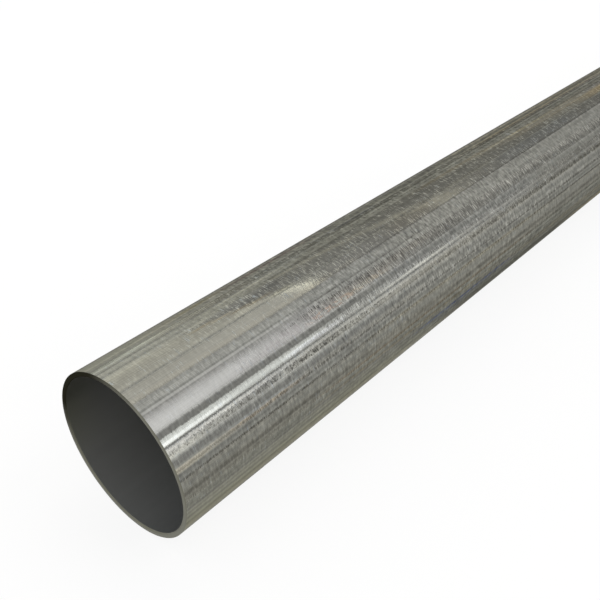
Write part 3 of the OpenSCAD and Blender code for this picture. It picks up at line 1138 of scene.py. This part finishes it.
def studio_world(studio):
    """Even white light from all sides."""
    world = bpy.data.worlds.new("Studio White")
    world.use_nodes = True
    tree = world.node_tree
    light = next(node for node in tree.nodes if node.type == "BACKGROUND")
    light.inputs["Color"].default_value = (1.0, 1.0, 1.0, 1.0)
    feed(tree, light.inputs["Strength"], mix_value(tree, seen_directly(tree), studio.fill_light, 1.0))
    bpy.context.scene.world = world


def studio_floor(studio):
    """A plain white floor that keeps a soft shadow."""
    half = studio.floor_size / 2
    mesh = bpy.data.meshes.new("studio_floor")
    corners = [(-half, -half, 0.0), (half, -half, 0.0), (half, half, 0.0), (-half, half, 0.0)]
    mesh.from_pydata(corners, [], [(0, 1, 2, 3)])
    floor = bpy.data.objects.new("studio_floor", mesh)
    bpy.context.scene.collection.objects.link(floor)
    material, tree, shader = new_material("studio floor")
    shader.inputs["Base Color"].default_value = (*studio.floor_colour, 1.0)
    shader.inputs["Roughness"].default_value = 0.9
    shader.inputs["Specular IOR Level"].default_value = 0.0
    glow = add_node(tree, "ShaderNodeEmission", {"Color": (1.0, 1.0, 1.0, 1.0), "Strength": 1.0})
    blend = add_node(tree, "ShaderNodeMixShader")
    feed(tree, blend.inputs[0], calc(tree, "MULTIPLY", seen_directly(tree), studio.floor_glow))
    feed(tree, blend.inputs[1], shader.outputs[0])
    feed(tree, blend.inputs[2], glow.outputs[0])
    output = next(node for node in tree.nodes if node.type == "OUTPUT_MATERIAL")
    feed(tree, output.inputs["Surface"], blend.outputs[0])
    mesh.materials.append(material)
    return floor


def studio_camera(studio):
    """A camera near the pipe's near end, looking along it from above."""
    data = bpy.data.cameras.new("studio_camera")
    data.lens = studio.lens
    data.sensor_width = 36.0
    data.clip_start = 0.01
    data.clip_end = 200.0
    camera = bpy.data.objects.new("studio_camera", data)
    near_end = -SIZES["length"] / 2
    back, side, rise = studio.camera_place
    camera.location = (near_end + back, side, SIZES["outer_radius"] + rise)
    camera.rotation_euler = (
        math.pi / 2 - studio.camera_pitch,
        0.0,
        studio.camera_heading - math.pi / 2,
    )
    bpy.context.scene.collection.objects.link(camera)
    bpy.context.scene.camera = camera


# Lamps as (name, height, along, across, radiance, colour).
SOFTBOXES = (
    ("overhead_front", 3.0, (0.25, 0.835), (0.0, 0.80), 0.93, (1.0, 0.98, 0.88)),
    ("overhead_middle", 3.0, (0.25, 0.885), (0.80, 1.25), 0.93, (1.0, 0.98, 0.88)),
    ("overhead_back", 3.0, (0.25, 1.05), (1.25, 1.65), 0.93, (1.0, 0.98, 0.88)),
    ("overhead_far_back", 3.0, (0.40, 1.85), (1.65, 3.4), 0.75, (1.0, 0.98, 0.91)),
    ("overhead_edge", 3.0, (0.815, 0.855), (-0.02, 0.45), 4.3, (1.0, 0.98, 0.84)),
    ("far_strip", 3.0, (1.24, 1.34), (-0.02, 1.4), 0.7, (1.0, 0.95, 0.75)),
    ("far_edge", 3.0, (1.26, 1.33), (-0.02, 0.40), 2.2, (1.0, 0.96, 0.70)),
    ("farther_glow", 3.0, (2.05, 3.20), (0.50, 1.35), 0.42, (1.0, 0.93, 0.80)),
    ("farther_strip", 3.0, (2.48, 2.76), (0.55, 1.21), 0.50, (1.0, 0.84, 0.62)),
    ("farther_edge", 3.0, (2.25, 2.62), (1.21, 1.30), 2.4, (1.0, 0.95, 0.78)),
    ("farther_corner", 3.0, (2.40, 3.60), (0.35, 1.12), 0.35, (1.0, 0.90, 0.72)),
    ("farther_peak", 3.0, (2.26, 3.05), (0.98, 1.21), 0.65, (1.0, 0.95, 0.85)),
    ("farther_wing", 3.0, (2.10, 2.75), (1.38, 1.62), 0.60, (1.0, 0.90, 0.68)),
    ("front_panel", 3.0, (0.20, 0.62), (-0.90, -0.62), 2.3, (0.96, 0.98, 1.0)),
    ("front_panel_next", 3.0, (0.62, 0.72), (-0.90, -0.62), 2.5, (0.96, 0.98, 1.0)),
    ("front_panel_past", 3.0, (0.72, 0.80), (-0.90, -0.62), 2.0, (0.96, 0.98, 1.0)),
    ("front_panel_upper", 3.0, (0.20, 0.80), (-0.62, -0.52), 2.45, (0.96, 0.98, 1.0)),
    ("front_panel_high", 3.0, (0.20, 0.80), (-0.52, -0.44), 2.05, (0.96, 0.98, 1.0)),
    ("front_panel_top", 3.0, (0.20, 0.80), (-0.44, -0.37), 1.6, (0.96, 0.98, 1.0)),
    ("front_panel_end", 3.0, (0.80, 1.06), (-0.90, -0.50), 1.7, (0.99, 0.96, 1.0)),
    ("front_panel_tail", 3.0, (1.02, 1.40), (-0.90, -0.56), 0.5, (1.0, 0.96, 0.94)),
    ("front_strip", 3.0, (0.50, 0.90), (-1.74, -1.20), 2.8, (0.92, 0.97, 1.0)),
    ("front_strip_middle", 3.0, (0.90, 1.24), (-1.74, -1.20), 2.2, (0.92, 0.97, 1.0)),
    ("front_strip_low", 3.0, (0.50, 1.02), (-1.80, -1.46), 2.6, (0.96, 0.98, 1.0)),
    ("front_strip_past", 3.0, (1.02, 1.16), (-1.78, -1.46), 1.8, (0.96, 0.98, 1.0)),
    ("front_strip_end", 3.0, (1.24, 1.36), (-1.74, -1.20), 2.7, (0.92, 0.97, 1.0)),
    ("front_strip_tail", 3.0, (1.36, 1.80), (-1.74, -1.20), 0.6, (0.96, 0.98, 1.0)),
    ("front_spark", 3.0, (1.85, 2.25), (-1.74, -1.52), 2.2, (1.0, 1.0, 0.94)),
    ("front_spark_tail", 3.0, (2.25, 2.75), (-1.76, -1.50), 0.6, (1.0, 0.99, 0.95)),
    ("front_spark_end", 3.0, (2.75, 3.05), (-1.76, -1.50), 0.6, (1.0, 0.99, 0.95)),
    ("low_edge", 3.0, (0.90, 1.50), (-2.38, -1.98), 2.6, (1.0, 0.99, 0.95)),
    ("low_edge_tail", 3.0, (1.50, 2.70), (-2.38, -1.98), 1.25, (1.0, 0.99, 0.95)),
    ("low_edge_far", 3.0, (2.70, 3.10), (-2.38, -1.98), 0.8, (1.0, 0.99, 0.96)),
    ("low_far_panel", 3.0, (2.80, 3.50), (-3.40, -2.45), 1.4, (1.0, 0.99, 0.96)),
    ("low_panel", 1.0, (0.90, 1.65), (-4.2, -2.38), 2.3, (1.0, 0.99, 0.97)),
    ("low_panel_tail", 1.0, (1.65, 2.30), (-4.2, -2.38), 1.0, (1.0, 0.99, 0.97)),
    ("back_panel", 1.0, (1.50, 2.40), (3.4, 4.8), 1.45, (0.96, 1.0, 0.96)),
    ("back_panel_tail", 1.0, (2.40, 2.90), (3.2, 4.8), 0.45, (0.97, 1.0, 0.96)),
    ("back_panel_low", 1.0, (2.45, 3.60), (4.8, 6.8), 2.8, (0.96, 1.0, 0.96)),
)


# ----------------------------------------------------------------- the add-on


class ConduitSizes(bpy.types.PropertyGroup):
    """Sizes of the pipe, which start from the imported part."""

    outer_radius: bpy.props.FloatProperty(
        name="Outer Radius",
        description="Half of the outside diameter",
        default=SIZES["outer_radius"],
        precision=5,
        unit="LENGTH",
    )
    wall: bpy.props.FloatProperty(
        name="Wall",
        description="Thickness of the tube's wall",
        default=SIZES["wall"],
        precision=5,
        unit="LENGTH",
    )
    length: bpy.props.FloatProperty(
        name="Length",
        description="Length of the pipe as sold",
        default=SIZES["length"],
        unit="LENGTH",
    )
    ream: bpy.props.FloatProperty(
        name="Ream",
        description="Width of the bevel on the bore's edge",
        default=SIZES["ream"],
        precision=5,
        unit="LENGTH",
    )
    deburr: bpy.props.FloatProperty(
        name="Deburr",
        description="Width of the bevel on the outside edge",
        default=SIZES["deburr"],
        precision=5,
        unit="LENGTH",
    )
    facets: bpy.props.IntProperty(
        name="Facets",
        description="Flat sides round the pipe",
        default=256,
        min=12,
        max=512,
    )
    rings: bpy.props.IntProperty(
        name="Rings",
        description="Steps along the pipe",
        default=48,
        min=1,
        max=96,
    )


class ConduitFinish(bpy.types.PropertyGroup):
    """Colours and surface of the steel."""

    zinc_colour: bpy.props.FloatVectorProperty(
        name="Zinc",
        description="Matte zinc coat",
        default=(0.235, 0.235, 0.216),
        subtype="COLOR",
    )
    bare_colour: bpy.props.FloatVectorProperty(
        name="Bright Metal",
        description="Bright drawn metal between the matte bands",
        default=(0.168, 0.166, 0.153),
        subtype="COLOR",
    )
    bore_colour: bpy.props.FloatVectorProperty(
        name="Bore",
        description="Lining of the bore",
        default=(0.119, 0.120, 0.119),
        subtype="COLOR",
    )
    ring_painted_shade_colour: bpy.props.FloatVectorProperty(
        name="Cut End Painted Shade",
        description="Dark colour painted as shade on part of the cut ends",
        default=(0.021, 0.020, 0.013),
        subtype="COLOR",
    )
    cut_colour: bpy.props.FloatVectorProperty(
        name="Cut End",
        description="Bare steel of the cut and reamed ends",
        default=(0.165, 0.163, 0.127),
        subtype="COLOR",
    )
    zinc_roughness: bpy.props.FloatProperty(
        name="Zinc Roughness",
        description="Roughness of the matte bands",
        default=0.6,
        subtype="FACTOR",
    )
    olive_cast: bpy.props.FloatVectorProperty(
        name="Olive Cast",
        description="What the metal's colour is multiplied by, away from the crown",
        default=(1.0, 0.99, 0.86),
        subtype="COLOR",
    )
    grazing_shine: bpy.props.FloatProperty(
        name="Grazing Shine",
        description="How bright the metal is where it is seen almost edge on",
        default=0.4,
        subtype="FACTOR",
    )
    hair_contrast: bpy.props.FloatProperty(
        name="Hair Contrast",
        description="How strongly the fine strokes round the pipe change its tone",
        default=0.42,
        subtype="FACTOR",
    )
    bare_roughness: bpy.props.FloatProperty(
        name="Bright Roughness",
        description="Roughness of the bright bands",
        default=0.05,
        subtype="FACTOR",
    )
    edge_wander: bpy.props.FloatProperty(
        name="Edge Wander",
        description="How ragged the bands' edges are, in degrees round the pipe",
        default=2.0,
    )
    fleck_contrast: bpy.props.FloatProperty(
        name="Fleck Contrast",
        description="How crisp the flecks are that break up the bands",
        default=6.0,
    )
    stray_lift: bpy.props.FloatProperty(
        name="Stray Lift",
        description="How much lighter than the zinc coat the stray hairs are",
        default=0.25,
        subtype="FACTOR",
    )
    whisker_lift: bpy.props.FloatProperty(
        name="Whisker Lift",
        description="How much paler the long hairs are than the zinc they lie on",
        default=0.15,
    )
    whisker_zinc: bpy.props.FloatProperty(
        name="Whisker Zinc",
        description="How much of the bare metal under a long hair its zinc hides",
        default=0.7,
        subtype="FACTOR",
    )
    whisker_cast: bpy.props.FloatVectorProperty(
        name="Whisker Cast",
        description="Colour of the long hairs against the zinc they lie on",
        default=(0.93, 1.0, 1.14),
        subtype="COLOR",
    )
    stray_zinc: bpy.props.FloatProperty(
        name="Stray Zinc",
        description="How much the stray hairs of zinc dull the bright bands",
        default=0.95,
        subtype="FACTOR",
    )


class ConduitStudio(bpy.types.PropertyGroup):
    """Floor, light and camera."""

    fill_light: bpy.props.FloatProperty(
        name="Fill Light",
        description="Strength of the even light on the floor and on matte surfaces",
        default=0.80,
    )
    floor_colour: bpy.props.FloatVectorProperty(
        name="Floor",
        description="Colour of the floor",
        default=(1.0, 1.0, 1.0),
        subtype="COLOR",
    )
    floor_glow: bpy.props.FloatProperty(
        name="Floor Lift",
        description="Share of plain white mixed into the floor's look",
        default=0.88,
        subtype="FACTOR",
    )
    floor_size: bpy.props.FloatProperty(
        name="Floor Size",
        description="Length of the floor's sides",
        default=40.0,
        unit="LENGTH",
    )
    lens: bpy.props.FloatProperty(
        name="Lens",
        description="Focal length of the camera",
        default=47.051,
        unit="CAMERA",
    )
    camera_place: bpy.props.FloatVectorProperty(
        name="Camera Place",
        description="Camera, from the middle of the pipe's near mouth",
        default=(-0.086079, -0.144312, 0.166417),
        precision=5,
        subtype="TRANSLATION",
    )
    camera_pitch: bpy.props.FloatProperty(
        name="Camera Pitch",
        description="How far the camera looks down",
        default=math.radians(34.822),
        subtype="ANGLE",
    )
    camera_heading: bpy.props.FloatProperty(
        name="Camera Heading",
        description="Where the camera looks, turned from +X toward +Y",
        default=math.radians(41.272),
        subtype="ANGLE",
    )


class CONDUIT_OT_build_tube(bpy.types.Operator):
    """Builds the pipe as a smooth tube with its three finishes"""

    bl_idname = "conduit.build_tube"
    bl_label = "Build Conduit"

    def execute(self, context):
        sizes, finish = context.scene.conduit_sizes, context.scene.conduit_finish
        groups = {
            "place": axis_angle_group(),
            "strokes": stroke_group(),
            "marks": die_marks_group(),
            "patch": patch_group(),
        }
        values = {
            "Outer Radius": sizes.outer_radius,
            "Wall": sizes.wall,
            "Length": sizes.length,
            "Ream": sizes.ream,
            "Deburr": sizes.deburr,
            "Facets": sizes.facets,
            "Rings": sizes.rings,
            "Outside": galvanised_material(finish, groups),
            "Bore": bore_material(finish, groups),
            "Cut End": cut_end_material(finish, groups),
        }
        pipe = solid_from_tree(PIPE_NAME, tube_tree(), values)
        if not pipe.data.polygons:
            raise RuntimeError("the tube came out empty")
        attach(pipe, "root")
        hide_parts(CAD_NODE)
        return {"FINISHED"}


class CONDUIT_OT_build_stage(bpy.types.Operator):
    """Builds the floor, the light and the camera"""

    bl_idname = "conduit.build_stage"
    bl_label = "Build Studio"

    def execute(self, context):
        studio = context.scene.conduit_studio
        context.scene.view_settings.view_transform = "Standard"
        studio_world(studio)
        studio_floor(studio)
        for lamp in SOFTBOXES:
            softbox(*lamp)
        studio_camera(studio)
        return {"FINISHED"}


class CONDUIT_PT_panel(bpy.types.Panel):
    """Sizes, finish and studio of the conduit, in the sidebar"""

    bl_idname = "CONDUIT_PT_panel"
    bl_label = "Steel Conduit Pipe"
    bl_space_type = "VIEW_3D"
    bl_region_type = "UI"
    bl_category = "Conduit"

    def draw(self, context):
        scene = context.scene
        parts = (
            (scene.conduit_sizes, CONDUIT_OT_build_tube),
            (scene.conduit_finish, None),
            (scene.conduit_studio, CONDUIT_OT_build_stage),
        )
        for group, operator in parts:
            column = self.layout.box().column()
            for name in group.__annotations__:
                column.prop(group, name)
            if operator:
                column.operator(operator.bl_idname)


CLASSES = (
    ConduitSizes,
    ConduitFinish,
    ConduitStudio,
    CONDUIT_OT_build_tube,
    CONDUIT_OT_build_stage,
    CONDUIT_PT_panel,
)


def register():
    for part in CLASSES:
        bpy.utils.register_class(part)
    bpy.types.Scene.conduit_sizes = bpy.props.PointerProperty(type=ConduitSizes)
    bpy.types.Scene.conduit_finish = bpy.props.PointerProperty(type=ConduitFinish)
    bpy.types.Scene.conduit_studio = bpy.props.PointerProperty(type=ConduitStudio)


def unregister():
    del bpy.types.Scene.conduit_studio
    del bpy.types.Scene.conduit_finish
    del bpy.types.Scene.conduit_sizes
    for part in reversed(CLASSES):
        bpy.utils.unregister_class(part)


def main():
    register()
    bpy.ops.conduit.build_tube()
    bpy.ops.conduit.build_stage()


if __name__ == "__main__":
    main()
